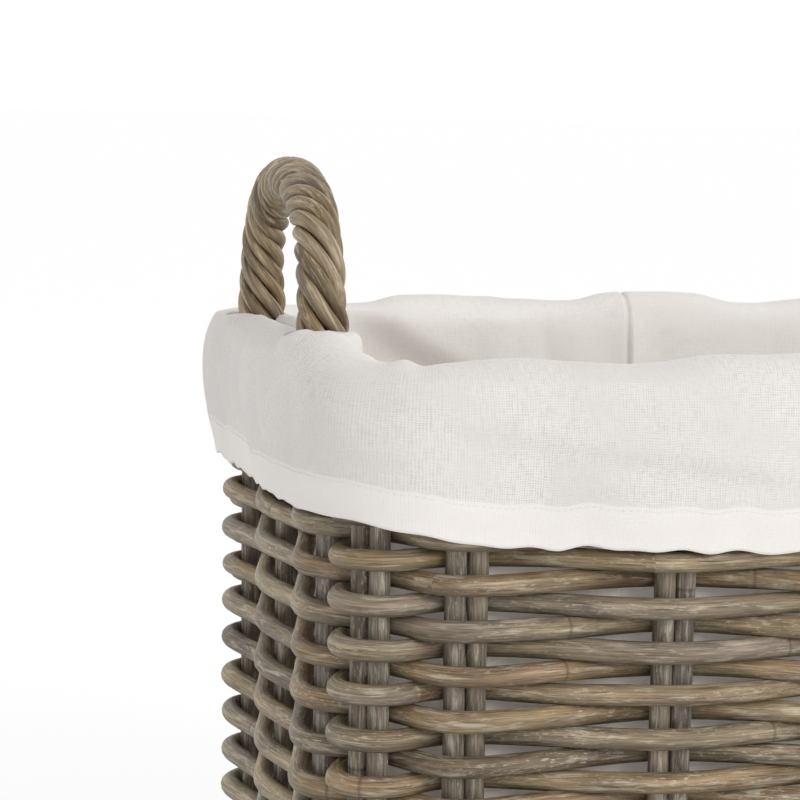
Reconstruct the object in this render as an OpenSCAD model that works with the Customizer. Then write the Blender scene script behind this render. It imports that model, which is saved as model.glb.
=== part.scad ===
// Woven laundry basket with two rope handles and a lift-out cloth liner.
// Millimetres, +Z up, the long side along X and the front at -Y. The origin is on the
// floor, under the middle of the basket. Canes are drawn with plain sections.

/* [Basket] */
// Length over the weave at the rim
basket_w = 570; // [480:5:640]
// Depth over the weave at the rim
basket_d = 400; // [340:5:460]
// Height of the woven wall with its rim
rim_h = 490; // [460:1:520]
// Outer corner radius of the wall
corner_r = 60; // [50:1:75]
// How far each wall leans in at the floor
base_inset = 8; // [0:1:12]

/* [Weave] */
// Diameter of the woven rods
rod_d = 10; // [8:0.5:10]
// Diameter of the upright stakes
stake_d = 10.5; // [9:0.5:11]
// Height from one woven row to the next
row_pitch = 11; // [10.5:0.1:12]
// Number of woven rows
row_count = 38; // [30:1:38]
// Distance from a corner pair of stakes to the next pair
corner_bay = 45; // [42:1:60]
// Pairs of stakes along the front, and along the back
front_pairs = 5; // [3:2:5]
// Pairs of stakes along each end
end_pairs = 3; // [1:2:3]

/* [Base and rim] */
// Height of the hoop that the basket stands on
base_hoop_h = 26; // [24:1:30]
// Height of the two hoops that clamp the stake tops
rim_hoop_h = 14; // [10:1:16]
// Thickness of the cap over the stake tops
border_h = 12; // [8:1:14]

/* [Handles] */
// Distance between the legs of a handle, centre to centre
handle_span = 196; // [170:1:205]
// Height of a handle above the floor
handle_top = 590; // [580:1:620]
// Diameter of the laid rope
rope_d = 25; // [20:1:26]
// Bend radius of the rope at the top corners
rope_bend_r = 70; // [50:1:75]
// Diameter of the rod inside the rope
core_d = 10; // [8:0.5:10]

/* [Liner] */
// Thickness that the cloth and its folds take up
cloth_t = 2.5; // [1.5:0.5:3]
// Height of the cuff that hangs over the rim
cuff_h = 91; // [60:1:120]
// Distance from the weave to the outside of the cuff
cuff_out = 10; // [8:1:12]
// Height of the soft fold over the rim
fold_h = 10; // [8:1:12]

/* [Hidden] */
$fn = 48;
gap = 0.3;
touch_gap = 0.1;
seat_gap = 0.2;
rod_offset = (stake_d + rod_d) / 2 + gap;
wall_t = stake_d + 2 * (rod_d + gap);
stake_corner_r = corner_r - wall_t / 2;
corner_cut = stake_corner_r * (1 - cos(45));
pair_half = stake_d / 2 + touch_gap;
rod_h = row_pitch - 1;
wale_d = 8.6;
first_row_gap = 1.3;
first_row_z = base_hoop_h + 2 * wale_d + first_row_gap;
rim_hoop_gap = 0.5;
rim_hoop_z = rim_h - border_h - rim_hoop_h - rim_hoop_gap;
stake_top = rim_h - border_h - seat_gap;
arc_step = 16;
bar_d = 12;
bar_lift = 0.5;
bar_places = [-160, -80, 0, 80, 160];
stick_d = 8;
stick_count = 7;
stick_inset = 22;
stick_z = 21.5;
corner_short = 3;
split_w = 10;
split_t = 4;
split_pitch = 13;
handle_x = basket_w / 2 - wall_t / 2;
rope_top_z = handle_top - rope_d / 2;
lash_w = 4.2;
lash_t = 1.6;
slot_clear = 2;
liner_clear = 1.5;
liner_gap = 0.4;
cane = "#8b7b66";
pale_cane = "#a08f76";
dark_cane = "#6f6354";
linen = "#ebe9e4";
row_names = [for (i = [1:row_count]) str("weaver_row_", i < 10 ? "0" : "", i)];

// The stakes stand on a rounded rectangle in the middle of the wall, smaller at the floor.
function lean(z) = base_inset * (1 - z / rim_h);
function half_w(z) = basket_w / 2 - wall_t / 2 - lean(z);
function half_d(z) = basket_d / 2 - wall_t / 2 - lean(z);

// Places along one straight side, from its first pair of stakes to its last.
function places(reach, count) =
    count == 1 ? [0] : [for (i = [0:count - 1]) reach * (2 * i / (count - 1) - 1)];
function front_places(z) = places(half_w(z) - corner_cut - corner_bay, front_pairs);
function end_places(z) = places(half_d(z) - corner_cut - corner_bay, end_pairs);

// Pairs of stakes as [x, y, heading], anticlockwise from the front left corner.
function corner_pair(side_x, side_y, heading, z) =
    [side_x * (half_w(z) - corner_cut), side_y * (half_d(z) - corner_cut), heading];
function front_run(z) = [for (x = front_places(z)) [x, -half_d(z), 0]];
function right_run(z) = [for (y = end_places(z)) [half_w(z), y, 90]];
function back_run(z) = [for (x = front_places(z)) [-x, half_d(z), 180]];
function left_run(z) = [for (y = end_places(z)) [-half_w(z), -y, 270]];
function pair_ring(z) = concat(
    [corner_pair(-1, -1, -45, z)], front_run(z),
    [corner_pair(1, -1, 45, z)], right_run(z),
    [corner_pair(1, 1, 135, z)], back_run(z),
    [corner_pair(-1, 1, 225, z)], left_run(z)
);

// The two stake centres of one pair, and the centres of a list of pairs, at one height.
function along(heading) = [cos(heading), sin(heading)];
function pair_stakes(p) = [for (s = [-1, 1]) [p.x, p.y] + s * pair_half * along(p.z)];
function stakes_of(pairs) = [for (p = pairs, c = pair_stakes(p)) c];

// A row runs like a belt round the stakes: outside one pair and inside the next.
// The belt's heading from stake a to stake b, where each side is 1 outside and -1 inside.
function belt_heading(a, b, side_a, side_b) =
    atan2(b.y - a.y, b.x - a.x) + asin((side_a - side_b) * rod_offset / norm(b - a));
function outward(heading) = [sin(heading), -cos(heading)];
function turn(from, to) = (to - from + 540) % 360 - 180;

// One face of a row's rod, at a given distance outside its centre line.
function row_face(z, first_side, shift) =
    let(
        centres = stakes_of(pair_ring(z)),
        n = len(centres),
        side = [for (j = [0:n - 1]) first_side * (floor(j / 2) % 2 == 0 ? 1 : -1)],
        heading = [for (j = [0:n - 1])
            belt_heading(centres[j], centres[(j + 1) % n], side[j], side[(j + 1) % n])]
    )
    [for (j = [0:n - 1])
        let(
            start = heading[(j + n - 1) % n],
            bend = turn(start, heading[j]),
            steps = max(1, ceil(abs(bend) / arc_step))
        )
        for (k = [0:steps])
            centres[j] + (side[j] * rod_offset + shift) * outward(start + bend * k / steps)];

module weaver_row(index) {
    bottom = first_row_z + row_pitch * index;
    middle = bottom + rod_h / 2;
    first_side = index % 2 == 0 ? 1 : -1;
    color(index % 3 == 0 ? pale_cane : index % 3 == 1 ? cane : dark_cane)
        translate([0, 0, bottom])
            linear_extrude(rod_h)
                difference() {
                    polygon(row_face(middle, first_side, rod_d / 2));
                    polygon(row_face(middle, first_side, -rod_d / 2));
                }
}

// A straight round rod from point a to point b.
module rod(a, b, d) {
    v = b - a;
    translate(a)
        rotate([0, acos(v.z / norm(v)), atan2(v.y, v.x)])
            cylinder(h = norm(v), d = d);
}

// Upright stakes between their places at the floor end and at the rim end.
module stakes(low, high) {
    low_z = base_hoop_h + seat_gap;
    color(cane)
        for (j = [0:len(low) - 1])
            rod([low[j].x, low[j].y, low_z], [high[j].x, high[j].y, stake_top], stake_d);
}

function corners_of(ring) = [for (p = ring) if (p.z % 90 != 0) p];

module front_stakes() {
    stakes(stakes_of(front_run(base_hoop_h)), stakes_of(front_run(stake_top)));
}

module back_stakes() {
    stakes(stakes_of(back_run(base_hoop_h)), stakes_of(back_run(stake_top)));
}

module left_end_stakes() {
    stakes(stakes_of(left_run(base_hoop_h)), stakes_of(left_run(stake_top)));
}

module right_end_stakes() {
    stakes(stakes_of(right_run(base_hoop_h)), stakes_of(right_run(stake_top)));
}

module corner_stakes() {
    stakes(
        stakes_of(corners_of(pair_ring(base_hoop_h))),
        stakes_of(corners_of(pair_ring(stake_top)))
    );
}

// A rounded rectangle, and a flat ring between two distances outside the stake line.
module rounded_rect(half_x, half_y, r) {
    square([2 * half_x, 2 * (half_y - r)], center = true);
    square([2 * (half_x - r), 2 * half_y], center = true);
    for (sx = [-1, 1], sy = [-1, 1])
        translate([sx * (half_x - r), sy * (half_y - r)]) circle(r);
}

module wall_outline(z, shift) {
    rounded_rect(half_w(z) + shift, half_d(z) + shift, stake_corner_r + shift);
}

module wall_ring(z, inner, outer, height) {
    linear_extrude(height)
        difference() {
            wall_outline(z, outer);
            wall_outline(z, inner);
        }
}

// A round cane bent to a hoop, its centre line at a distance outside the stake line.
module cane_hoop(z, shift, d) {
    x = half_w(z) - stake_corner_r;
    y = half_d(z) - stake_corner_r;
    r = stake_corner_r + shift;
    for (s = [-1, 1]) {
        translate([-x, s * (y + r), z]) rotate([0, 90, 0]) cylinder(h = 2 * x, d = d);
        translate([s * (x + r), -y, z]) rotate([-90, 0, 0]) cylinder(h = 2 * y, d = d);
    }
    for (q = [0:3])
        translate([(q == 0 || q == 3 ? 1 : -1) * x, (q < 2 ? 1 : -1) * y, z])
            rotate([0, 0, 90 * q])
                rotate_extrude(angle = 90) translate([r, 0]) circle(d = d);
}

module base_hoop() {
    color(dark_cane) wall_ring(0, -wall_t / 2, wall_t / 2, base_hoop_h);
}

module base_bars() {
    reach = half_d(0) - wall_t / 2;
    color(dark_cane)
        for (x = bar_places)
            translate([x, -reach, bar_d / 2 + bar_lift])
                rotate([-90, 0, 0]) cylinder(h = 2 * reach, d = bar_d);
}

function stick_places() = places(half_d(0) - wall_t / 2 - stick_inset, stick_count);

// Half the length of the stick at a place. The outermost sticks stop short of the rounded corners.
function stick_reach(y) =
    half_w(0) - wall_t / 2 - (abs(y) == max(stick_places()) ? corner_short : 0);

module base_sticks() {
    color(cane)
        for (y = stick_places())
            translate([-stick_reach(y), y, stick_z])
                rotate([0, 90, 0]) cylinder(h = 2 * stick_reach(y), d = stick_d);
}

// One flat split in its own plane: over one stick and under the next, level at each stick.
function split_line(first_side, shift) =
    let(rise = (stick_d + split_t) / 2 + gap, flat = stick_d * 0.6)
    [for (i = [0:stick_count - 1], s = [-1, 1])
        [stick_places()[i] + s * flat, first_side * (i % 2 == 0 ? 1 : -1) * rise + shift]];

module base_split(first_side) {
    upper = split_line(first_side, split_t / 2);
    lower = split_line(first_side, -split_t / 2);
    turned = [for (i = [len(lower) - 1:-1:0]) lower[i]];
    translate([-split_w / 2, 0, stick_z])
        rotate([90, 0, 90]) linear_extrude(split_w) polygon(concat(upper, turned));
}

module base_weave() {
    reach = half_w(0) - wall_t / 2 - split_w;
    count = floor(reach / split_pitch);
    color(pale_cane)
        for (i = [-count:count])
            translate([i * split_pitch, 0, 0]) base_split(abs(i) % 2 == 0 ? 1 : -1);
}

module foot_wale() {
    shift = (stake_d + wale_d) / 2 + gap;
    color(cane)
        for (round = [0, 1], side = [-1, 1])
            cane_hoop(
                base_hoop_h + wale_d / 2 + touch_gap + round * (wale_d + touch_gap),
                side * shift,
                wale_d
            );
}

module rim_outer_hoop() {
    color(cane)
        translate([0, 0, rim_hoop_z])
            wall_ring(rim_h, stake_d / 2 + gap, wall_t / 2, rim_hoop_h);
}

module rim_inner_hoop() {
    color(cane)
        translate([0, 0, rim_hoop_z])
            wall_ring(rim_h, -wall_t / 2, -stake_d / 2 - gap, rim_hoop_h);
}

module rim_border() {
    color(dark_cane)
        difference() {
            translate([0, 0, rim_h - border_h]) wall_ring(rim_h, -wall_t / 2, wall_t / 2, border_h);
            for (side = [-1, 1], end = [-1, 1])
                translate([side * handle_x, end * handle_span / 2, rim_h - border_h - 1])
                    cylinder(h = border_h + 2, d = core_d + 2 * gap);
        }
}

// A flat loop of split cane round the rim. It fits between a handle leg and the stakes beside it.
module lashing() {
    low_z = rim_hoop_z - seat_gap;
    inside_w = wall_t + 2 * seat_gap;
    inside_h = rim_h - low_z;
    translate([0, 0, low_z + inside_h / 2])
        difference() {
            cube([inside_w + 2 * lash_t, lash_w, inside_h + 2 * lash_t], center = true);
            cube([inside_w, 2 * lash_w, inside_h], center = true);
        }
}

module handle_lashings() {
    beside = rope_d / 2 + gap + lash_w / 2;
    color(pale_cane)
        for (side = [-1, 1], end = [-1, 1], s = [-1, 1])
            translate([side * handle_x, end * handle_span / 2 + s * beside, 0]) lashing();
}

// An arch in the plane of the end wall: two legs, two quarter bends and a level top.
module arch(d, foot_z) {
    leg_y = handle_span / 2;
    bend_y = leg_y - rope_bend_r;
    bend_z = rope_top_z - rope_bend_r;
    for (s = [-1, 1])
        translate([0, s * leg_y, foot_z]) cylinder(h = bend_z - foot_z, d = d);
    for (s = [0, 1])
        mirror([0, s, 0])
            translate([0, bend_y, bend_z])
                rotate([90, 0, 90]) rotate_extrude(angle = 90) translate([rope_bend_r, 0]) circle(d = d);
    translate([0, -bend_y, rope_top_z]) rotate([-90, 0, 0]) cylinder(h = 2 * bend_y, d = d);
}

module handle_core() {
    color(dark_cane) arch(core_d, rim_hoop_z);
}

module handle_rope() {
    color(pale_cane)
        difference() {
            arch(rope_d, rim_h);
            arch(core_d + gap, rim_h - 1);
        }
}

module left_handle_core() {
    translate([-handle_x, 0, 0]) handle_core();
}

module left_handle_rope() {
    translate([-handle_x, 0, 0]) handle_rope();
}

module right_handle_core() {
    translate([handle_x, 0, 0]) handle_core();
}

module right_handle_rope() {
    translate([handle_x, 0, 0]) handle_rope();
}

liner_floor = stick_z + stick_d / 2 + gap + split_t + liner_gap;
bag_shift = -wall_t / 2 - liner_clear;
cuff_shift = wall_t / 2 + cuff_out;

// A standing band of cloth that follows the wall.
module cloth_band(z, shift, from_z, to_z) {
    translate([0, 0, from_z]) wall_ring(z, shift - cloth_t, shift, to_z - from_z);
}

module liner_side() {
    fold_top = rim_h + fold_h;
    slot_y = handle_span + rope_d + 2 * slot_clear;
    slot_x = rope_d + 2 * slot_clear;
    color(linen)
        difference() {
            union() {
                cloth_band(0, bag_shift, liner_floor + cloth_t, fold_top);
                cloth_band(rim_h, cuff_shift, fold_top - cuff_h, fold_top);
                translate([0, 0, fold_top - cloth_t])
                    linear_extrude(cloth_t)
                        difference() {
                            wall_outline(rim_h, cuff_shift);
                            wall_outline(0, bag_shift - cloth_t);
                        }
            }
            for (side = [-1, 1])
                translate([side * handle_x, 0, fold_top])
                    cube([slot_x, slot_y, 4 * cloth_t], center = true);
        }
}

module liner_base() {
    color(linen)
        translate([0, 0, liner_floor]) linear_extrude(cloth_t) wall_outline(0, bag_shift);
}

base_hoop();
base_bars();
base_sticks();
base_weave();
foot_wale();
front_stakes();
back_stakes();
left_end_stakes();
right_end_stakes();
corner_stakes();
for (i = [0:row_count - 1])
    weaver_row(i);
rim_outer_hoop();
rim_inner_hoop();
rim_border();
handle_lashings();
left_handle_core();
left_handle_rope();
right_handle_core();
right_handle_rope();
liner_side();
liner_base();
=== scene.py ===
"""Looks for a woven cane laundry basket with a linen liner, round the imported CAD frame. Metres, +Z up."""

import math
from types import SimpleNamespace

import bmesh
import bpy
import numpy as np
from mathutils import Matrix, Vector


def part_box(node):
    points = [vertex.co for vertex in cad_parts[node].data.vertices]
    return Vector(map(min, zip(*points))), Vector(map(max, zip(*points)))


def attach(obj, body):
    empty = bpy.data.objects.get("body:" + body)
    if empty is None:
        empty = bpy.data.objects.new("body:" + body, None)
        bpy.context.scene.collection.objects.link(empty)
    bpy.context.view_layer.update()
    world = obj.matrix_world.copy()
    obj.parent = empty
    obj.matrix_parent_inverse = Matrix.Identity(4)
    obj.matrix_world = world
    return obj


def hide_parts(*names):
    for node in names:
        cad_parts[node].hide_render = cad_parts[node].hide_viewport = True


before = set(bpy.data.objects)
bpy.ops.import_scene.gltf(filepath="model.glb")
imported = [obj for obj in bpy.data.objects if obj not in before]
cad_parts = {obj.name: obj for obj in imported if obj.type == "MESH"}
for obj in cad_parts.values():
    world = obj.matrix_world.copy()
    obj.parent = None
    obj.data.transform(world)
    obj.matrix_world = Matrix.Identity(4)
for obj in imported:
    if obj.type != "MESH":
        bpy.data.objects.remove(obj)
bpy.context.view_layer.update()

# ------------ sizes read from the frame
MM = 0.001
ROWS = sorted(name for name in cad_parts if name.startswith("weaver_row_"))
RIM_LOW, RIM_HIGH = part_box("rim_border")
HOOP_LOW, HOOP_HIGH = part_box("base_hoop")
ROPE_LOW, ROPE_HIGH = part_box("right_handle_rope")
BASKET_W = RIM_HIGH.x - RIM_LOW.x
BASKET_D = RIM_HIGH.y - RIM_LOW.y
RIM_TOP = RIM_HIGH.z
BASE_TOP = HOOP_HIGH.z
LEAN = (BASKET_W - (HOOP_HIGH.x - HOOP_LOW.x)) / 2
HANDLE_X = (ROPE_LOW.x + ROPE_HIGH.x) / 2
ROPE_R = (ROPE_HIGH.x - ROPE_LOW.x) / 2
HANDLE_HALF = ROPE_HIGH.y - ROPE_R
ROPE_TOP = ROPE_HIGH.z - ROPE_R - 1.5 * MM

# ------------ sizes repeated from the design
ROD_R = 5.0 * MM
SKIN_R = 5.5 * MM
STAKE_R = 5.25 * MM
GAP = 0.3 * MM
CORNER_R = 60 * MM
CORNER_BAY = 45 * MM
PAIR_HALF = STAKE_R + 0.1 * MM
FRONT_PAIRS = 5
END_PAIRS = 3
WALL_T = 2 * STAKE_R + 2 * (2 * ROD_R + GAP)
STAKE_CORNER_R = CORNER_R - WALL_T / 2
CORNER_CUT = STAKE_CORNER_R * (1 - math.cos(math.pi / 4))

# ------------ sizes of the looks
# The foot of the hem, as a length down the cloth from the crest, and the height of the hem's band.
HEM_V = 109 * MM
HEM_BAND = 23.5 * MM
# How much wider the slots for the handles are on the inside.
INNER_SLOT = 1.2
THREAD_PITCH = 1.25 * MM
# Distance between the node rings of a cane, and half their width.
NODE_SPACING = 340 * MM
NODE_RING = 1.4 * MM
# Each rod's grain starts at its own place, within this many metres.
GRAIN_SPREAD = 20.0

random = np.random.default_rng(7)


# ------------ plan of the wall
def lean(z):
    """How far the wall stands in from its rim position at a height."""
    return LEAN * (1 - z / RIM_TOP)


def half_sizes(z):
    """Half length and half depth of the rounded rectangle on which the stakes stand."""
    return BASKET_W / 2 - WALL_T / 2 - lean(z), BASKET_D / 2 - WALL_T / 2 - lean(z)


def places(reach, count):
    """Evenly spaced places from -reach to reach."""
    return [reach * (2 * i / (count - 1) - 1) for i in range(count)]


def pair_ring(z):
    """Pairs of stakes as (x, y, heading), anticlockwise from the front left corner."""
    w, d = half_sizes(z)
    cx, cy = w - CORNER_CUT, d - CORNER_CUT
    xs = places(cx - CORNER_BAY, FRONT_PAIRS)
    ys = places(cy - CORNER_BAY, END_PAIRS)
    ring = [(-cx, -cy, -45)] + [(x, -d, 0) for x in xs]
    ring += [(cx, -cy, 45)] + [(w, y, 90) for y in ys]
    ring += [(cx, cy, 135)] + [(-x, d, 180) for x in xs]
    ring += [(-cx, cy, 225)] + [(-w, -y, 270) for y in ys]
    return ring


def stake_centres(z):
    """Centres of all the stakes at a height, two for each pair."""
    centres = []
    for x, y, heading in pair_ring(z):
        a = math.radians(heading)
        step = np.array([math.cos(a), math.sin(a)]) * PAIR_HALF
        centres += [np.array([x, y]) - step, np.array([x, y]) + step]
    return np.array(centres)


def wall_line(z, shift, count):
    """Points round a rounded rectangle at a distance outside the stake line, with outward normals."""
    w, d = half_sizes(z)
    r = STAKE_CORNER_R
    cx, cy, arc = w - r, d - r, r * math.pi / 2
    sides = [(2 * cx, cx, -cy), (2 * cy, cx, cy), (2 * cx, -cx, cy), (2 * cy, -cx, -cy)]
    points, normals = [], []
    for s in np.linspace(0, 4 * (cx + cy) + 4 * arc, count, endpoint=False):
        side = 0
        while side < 3 and s >= sides[side][0] + arc:
            s -= sides[side][0] + arc
            side += 1
        length, x, y = sides[side]
        heading = math.radians(90 * side)
        back = max(0, length - s)
        a = heading - math.pi / 2 + max(0, s - length) / r
        nx, ny = math.cos(a), math.sin(a)
        reach = r + shift
        points.append((x - back * math.cos(heading) + reach * nx, y - back * math.sin(heading) + reach * ny))
        normals.append((nx, ny))
    return np.array(points), np.array(normals)


# ------------ small numeric helpers
def unit(vectors):
    """The same vectors, each with length 1."""
    return vectors / np.linalg.norm(vectors, axis=1)[:, None]


def arc_length(line):
    """Distance along a line at each of its points."""
    return np.concatenate([[0], np.cumsum(np.linalg.norm(np.diff(line, axis=0), axis=1))])


def ripple(n, waves, amplitude, falloff=0.6):
    """Smooth closed noise along n samples: a few random waves, seeded."""
    s = np.linspace(0, 2 * math.pi, n, endpoint=False)
    total = np.zeros(n)
    for k in range(1, waves + 1):
        total += random.normal() * np.cos(k * s + random.uniform(0, 2 * math.pi)) / k**falloff
    return amplitude * total / max(1e-9, np.abs(total).max())


def resample(points, count, closed):
    """The same line with count points evenly spaced along it."""
    line = np.vstack([points, points[:1]]) if closed else points
    s = arc_length(line)
    at = np.linspace(0, s[-1], count, endpoint=not closed)
    return np.stack([np.interp(at, s, line[:, k]) for k in range(line.shape[1])], axis=1)


# ------------ meshes
def bands(rows, sides, start=0):
    """Quads between neighbouring rows of points, where every row is a closed ring of sides points."""
    faces = []
    for i in range(rows - 1):
        a, b = start + i * sides, start + (i + 1) * sides
        faces += [(a + k, a + (k + 1) % sides, b + (k + 1) % sides, b + k) for k in range(sides)]
    return faces


def linked(name, data):
    """A new object with this data, in the scene."""
    obj = bpy.data.objects.new(name, data)
    bpy.context.scene.collection.objects.link(obj)
    return obj


def make_object(name, verts, faces, attributes=None):
    """A smooth mesh object from arrays, with optional per-vertex attributes."""
    mesh = bpy.data.meshes.new(name)
    mesh.from_pydata(np.asarray(verts).tolist(), [], [tuple(f) for f in faces])
    mesh.polygons.foreach_set("use_smooth", [True] * len(mesh.polygons))
    for key, values in (attributes or {}).items():
        values = np.asarray(values, dtype=np.float32)
        kind = "FLOAT_VECTOR" if values.ndim == 2 else "FLOAT"
        layer = mesh.attributes.new(key, kind, "POINT")
        layer.data.foreach_set("vector" if values.ndim == 2 else "value", values.ravel())
    mesh.update()
    return linked(name, mesh)


def tube(path, radius, tint, up=(0, 0, 1), closed=False, sides=14, oval=0.03, flat=(1, 1)):
    """A round rod swept along a path. Returns verts, faces, rod coordinates and tints."""
    path = np.asarray(path, float)
    n = len(path)
    radius = np.broadcast_to(radius, n)
    if closed:
        path, radius, tint = joined_at_tone(path, radius, tint)
        n = len(path)
        tangent = np.roll(path[:-1], -1, 0) - np.roll(path[:-1], 1, 0)
        tangent = np.vstack([tangent, tangent[:1]])
    else:
        tangent = np.gradient(path, axis=0)
    tangent = unit(tangent)
    side = unit(np.cross(tangent, np.broadcast_to(up, path.shape)))
    top = np.cross(side, tangent)
    angle = np.linspace(0, 2 * math.pi, sides, endpoint=False)
    lobe = 1 + oval * np.cos(2 * angle + random.uniform(0, math.pi))
    ring = radius[:, None] * lobe[None, :]
    across, rise = flat[0] * ring * np.cos(angle), flat[1] * ring * np.sin(angle)
    verts = path[:, None, :] + across[..., None] * side[:, None, :] + rise[..., None] * top[:, None, :]
    verts = verts.reshape(-1, 3)
    along = arc_length(path) + random.uniform(0, GRAIN_SPREAD)
    coords = np.stack([np.repeat(along, sides), across.ravel(), rise.ravel()], axis=1)
    faces = bands(n, sides)
    if not closed:
        for end, i in ((-1, 0), (1, n - 1)):
            verts = np.vstack([verts, path[i] + end * tangent[i] * radius[i] * 0.25])
            coords = np.vstack([coords, [along[i], 0, 0]])
            hub, a = len(verts) - 1, i * sides
            fan = [(a + k, hub, a + (k + 1) % sides) for k in range(sides)]
            faces += fan if end < 0 else [f[::-1] for f in fan]
    tints = np.full(len(verts), tint) if np.isscalar(tint) else np.repeat(tint, sides)
    return verts, faces, coords, tints


def joined_at_tone(path, radius, tint):
    """A closed path that starts and ends where its tone changes most, so that its joint shows no break."""
    start = int(np.abs(np.diff(tint)).argmax()) + 1
    order = (np.arange(len(path) + 1) + start) % len(path)
    tint = tint[order]
    tint[-1] = tint[-2]
    return path[order], radius[order], tint


def merge(parts):
    """Joins the results of several tube calls into one set of arrays."""
    verts, faces, coords, tints, start = [], [], [], [], 0
    for v, f, c, t in parts:
        verts.append(v)
        coords.append(c)
        tints.append(t)
        faces += [tuple(i + start for i in face) for face in f]
        start += len(v)
    return np.vstack(verts), faces, np.vstack(coords), np.concatenate(tints)


def place_piece(obj, material, body, slot, *nodes):
    """Gives a piece its material, and puts it on a body in place of CAD nodes."""
    obj.data.materials.append(material)
    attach(obj, body)
    if nodes:
        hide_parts(*nodes)


def cane_piece(name, parts, material, slot, *nodes):
    """One visible piece made of cane rods, riding on the basket in place of CAD nodes."""
    verts, faces, coords, tints = merge(parts)
    obj = make_object(name, verts, faces, {"cane_co": coords, "cane_tint": tints})
    place_piece(obj, material, "basket", slot, *nodes)


# ------------ materials
def srgb(r, g, b):
    """A colour given as 0 to 255 screen values, in linear light."""
    return tuple(((c / 255 + 0.055) / 1.055) ** 2.4 if c > 10 else c / 3294.6 for c in (r, g, b)) + (1,)


def new_material(name):
    """A new material with its node tree and its main shader."""
    material = bpy.data.materials.new(name)
    material.use_nodes = True
    tree = material.node_tree
    shader = tree.nodes["Principled BSDF"]
    return material, tree, shader


def plain_material(name, colour):
    """A dull material of one colour."""
    material, tree, shader = new_material(name)
    feed(tree, shader, {"Base Color": colour, "Roughness": 0.8})
    return material


def feed(tree, node, inputs):
    """Sets a node's inputs. Each gets a value, or a socket to link from."""
    for key, value in inputs.items():
        if isinstance(value, bpy.types.NodeSocket):
            tree.links.new(value, node.inputs[key])
        else:
            node.inputs[key].default_value = value


def add(tree, kind, inputs=None, **settings):
    """A new shader node with these inputs and settings."""
    node = tree.nodes.new(kind)
    for key, value in settings.items():
        setattr(node, key, value)
    feed(tree, node, inputs or {})
    return node


def ramp(tree, fac, stops):
    """A colour ramp with (position, colour) stops."""
    node = add(tree, "ShaderNodeValToRGB", {"Fac": fac})
    elements = node.color_ramp.elements
    while len(elements) < len(stops):
        elements.new(0.5)
    for element, (position, colour) in zip(elements, stops):
        element.position = position
        element.color = colour
    return node.outputs["Color"]


def grey(v):
    """A grey in linear light."""
    return (v, v, v, 1)


def grey_ramp(tree, fac, *stops):
    """A ramp between greys, with (position, brightness) stops."""
    return ramp(tree, fac, [(position, grey(level)) for position, level in stops])


def mix(tree, fac, a, b, blend="MIX"):
    """Two colours mixed by a factor."""
    return add(tree, "ShaderNodeMix", {0: fac, 6: a, 7: b}, data_type="RGBA", blend_type=blend).outputs[2]


def times(tree, a, b):
    """One colour multiplied by another."""
    return mix(tree, 1.0, a, b, "MULTIPLY")


def remap(tree, value, low, high, at_low, at_high):
    """A value taken from low..high to at_low..at_high, and held at both ends."""
    inputs = {0: value, 1: low, 2: high, 3: at_low, 4: at_high}
    return add(tree, "ShaderNodeMapRange", inputs).outputs[0]


def calc(tree, operation, *values):
    """The result of one maths node."""
    return add(tree, "ShaderNodeMath", dict(enumerate(values)), operation=operation).outputs[0]


def vector_calc(tree, operation, a, b):
    """The result of one vector maths node."""
    return add(tree, "ShaderNodeVectorMath", {0: a, 1: b}, operation=operation).outputs[0]


def relief(tree, height, strength, distance):
    """Normals for a surface that is raised by a height."""
    inputs = {"Height": height, "Strength": strength, "Distance": distance}
    return add(tree, "ShaderNodeBump", inputs).outputs[0]


def noise(tree, vector, scale, detail=2.0, **others):
    """The outputs of a noise texture."""
    inputs = {"Vector": vector, "Scale": scale, "Detail": detail, **others}
    return add(tree, "ShaderNodeTexNoise", inputs).outputs


def stretched_noise(tree, vector, along, around, detail, rough=0.55, distortion=0.0):
    """Noise on the rod's own coordinates, with its own scale along and round the rod."""
    scaled = vector_calc(tree, "MULTIPLY", vector, (along, around, around))
    return noise(tree, scaled, 1.0, detail, Roughness=rough, Distortion=distortion)["Fac"]


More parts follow.
